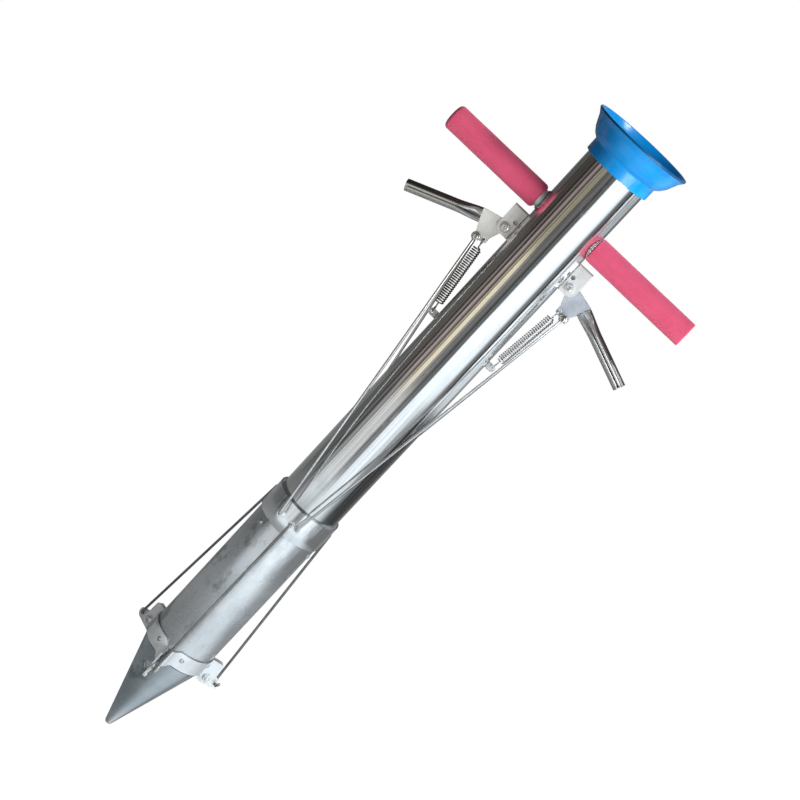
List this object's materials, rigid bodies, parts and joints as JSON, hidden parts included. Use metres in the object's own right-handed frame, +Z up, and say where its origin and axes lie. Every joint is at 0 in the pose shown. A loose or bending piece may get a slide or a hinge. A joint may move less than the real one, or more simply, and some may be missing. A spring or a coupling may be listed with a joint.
{
  "type": "seedling transplanter",
  "caption": "Hand planter: open feed tube with funnel and foam side grips, squeeze levers, pull rods and a sliding collar that opens a pointed petal beak at the foot.",
  "frame": {"origin": "tip of the closed beak, on the feed tube's axis", "axes": "+Z up along the feed tube, +X along the right grip, -Y to the front, where one petal and one link rod are"},
  "size_m": [0.3426, 0.1352, 0.916],
  "materials": {
    "polished_steel": "polished stainless tube",
    "satin_steel": "satin stainless sheet",
    "zinc_steel": "plain drawn steel",
    "foam": "matte closed-cell foam",
    "blue_plastic": "moulded gloss plastic"
  },
  "bodies": {
    "frame": {"main_tube": "polished_steel", "lower_tube": "satin_steel", "tube_rivets": "satin_steel", "feed_funnel": "blue_plastic", "handle_bar_left": "satin_steel", "handle_bar_right": "satin_steel", "grip_left": "foam", "grip_right": "foam", "lever_bracket_left": "satin_steel", "lever_bracket_right": "satin_steel", "lever_bolts": "zinc_steel", "lever_nuts": "zinc_steel", "spring_anchor_left": "satin_steel", "spring_anchor_right": "satin_steel", "return_spring_left": "zinc_steel", "return_spring_right": "zinc_steel", "hinge_band_right": "satin_steel", "hinge_band_back": "satin_steel", "hinge_band_left": "satin_steel", "band_rivets": "satin_steel", "jaw_bolts": "zinc_steel", "jaw_nuts": "zinc_steel"},
    "left_lever": {"lever_plate_left": "satin_steel", "lever_handle_left": "satin_steel", "rod_pin_left": "zinc_steel"},
    "right_lever": {"lever_plate_right": "satin_steel", "lever_handle_right": "satin_steel", "rod_pin_right": "zinc_steel"},
    "collar": {"collar": "satin_steel", "collar_bushes": "satin_steel", "link_rod_front": "zinc_steel", "link_rod_right": "zinc_steel", "link_rod_left": "zinc_steel"},
    "left_rods": {"pull_rod_left_front": "zinc_steel", "pull_rod_left_back": "zinc_steel"},
    "right_rods": {"pull_rod_right_front": "zinc_steel", "pull_rod_right_back": "zinc_steel"},
    "front_jaw": {"jaw_front": "satin_steel", "jaw_arm_front": "satin_steel"},
    "right_jaw": {"jaw_right": "satin_steel", "jaw_arm_right": "satin_steel"},
    "left_jaw": {"jaw_left": "satin_steel", "jaw_arm_left": "satin_steel"}
  },
  "joints": [
    {"name": "left-lever-joint", "type": "hinge", "parent": "frame", "child": "left_lever", "pos_m": [-0.048, 0, 0.751], "axis": [0, 1, 0], "range_deg": [0, 14], "stiffness_Nm_per_rad": 1.5, "springref_deg": -17.19, "deforming": ["return_spring_left"]},
    {"name": "right-lever-joint", "type": "hinge", "parent": "frame", "child": "right_lever", "pos_m": [0.048, 0, 0.751], "axis": [0, -1, 0], "range_deg": [0, 14], "stiffness_Nm_per_rad": 1.5, "springref_deg": -17.19, "deforming": ["return_spring_right"]},
    {"name": "collar-slide", "type": "slide", "parent": "frame", "child": "collar", "axis": [0, 0, 1], "range_m": [0, 0.0059]},
    {"name": "left-rods-joint", "type": "hinge", "parent": "collar", "child": "left_rods", "pos_m": [-0.013, 0, 0.353], "axis": [0, -1, 0], "range_deg": [0, 1.1]},
    {"name": "right-rods-joint", "type": "hinge", "parent": "collar", "child": "right_rods", "pos_m": [0.013, 0, 0.353], "axis": [0, 1, 0], "range_deg": [0, 1.1]},
    {"name": "front-jaw-joint", "type": "hinge", "parent": "frame", "child": "front_jaw", "pos_m": [0, -0.0535, 0.1195], "axis": [-1, 0, 0], "range_deg": [0, 22.2]},
    {"name": "right-jaw-joint", "type": "hinge", "parent": "frame", "child": "right_jaw", "pos_m": [0.04633, 0.02675, 0.1195], "axis": [0.5, -0.866, 0], "range_deg": [0, 22.2]},
    {"name": "left-jaw-joint", "type": "hinge", "parent": "frame", "child": "left_jaw", "pos_m": [-0.04633, 0.02675, 0.1195], "axis": [0.5, 0.866, 0], "range_deg": [0, 22.2]}
  ],
  "couplings": [
    {"joint": "right-lever-joint", "follows": "left-lever-joint", "ratio": 1},
    {"joint": "collar-slide", "follows": "left-lever-joint", "m_per_rad": 0.023804},
    {"joint": "left-rods-joint", "follows": "left-lever-joint", "ratio": 0.07339},
    {"joint": "right-rods-joint", "follows": "left-lever-joint", "ratio": 0.07339},
    {"joint": "front-jaw-joint", "follows": "left-lever-joint", "ratio": 1.578},
    {"joint": "right-jaw-joint", "follows": "left-lever-joint", "ratio": 1.578},
    {"joint": "left-jaw-joint", "follows": "left-lever-joint", "ratio": 1.578}
  ]
}
